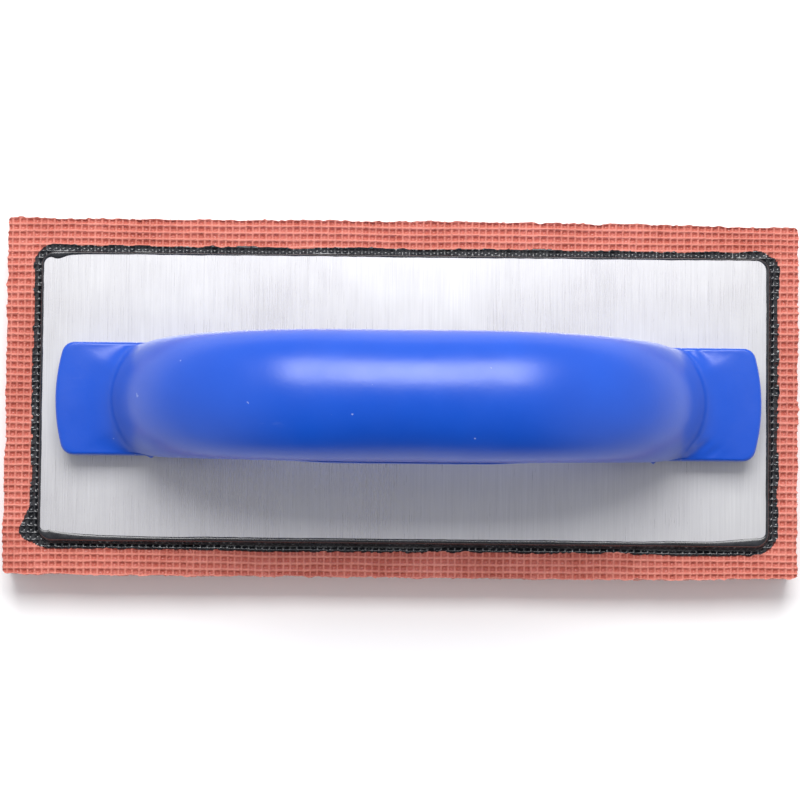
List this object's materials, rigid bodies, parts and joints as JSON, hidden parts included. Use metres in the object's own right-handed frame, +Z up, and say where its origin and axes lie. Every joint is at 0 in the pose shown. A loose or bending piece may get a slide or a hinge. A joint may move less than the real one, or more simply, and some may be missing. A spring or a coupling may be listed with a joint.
{
  "type": "sponge rubber hand float",
  "caption": "Flat hand float for finishing mortar: a sponge-rubber pad bonded under an aluminium plate, with a hollow two-shell plastic handle screwed on from below.",
  "frame": {"origin": "centre of the pad's working face, which is the plane the float rests on", "axes": "+X along the float, +Y across it, +Z up from the working face to the grip"},
  "size_m": [0.2286, 0.103, 0.0769],
  "materials": {
    "red_sponge_rubber": "matt, open cells",
    "black_cement": "glossy, smoothed while wet",
    "aluminium_sheet": "fine grain across the plate",
    "blue_plastic": "satin, as moulded",
    "zinc_steel": "bright zinc plate"
  },
  "bodies": {
    "root": {"rubber_pad": "red_sponge_rubber", "adhesive_coat": "black_cement", "adhesive_bead": "black_cement", "backing_plate": "aluminium_sheet", "handle_upper_shell": "blue_plastic", "handle_lower_shell": "blue_plastic", "screw_left_outer": "zinc_steel", "screw_left_inner": "zinc_steel", "screw_right_inner": "zinc_steel", "screw_right_outer": "zinc_steel"}
  },
  "joints": []
}
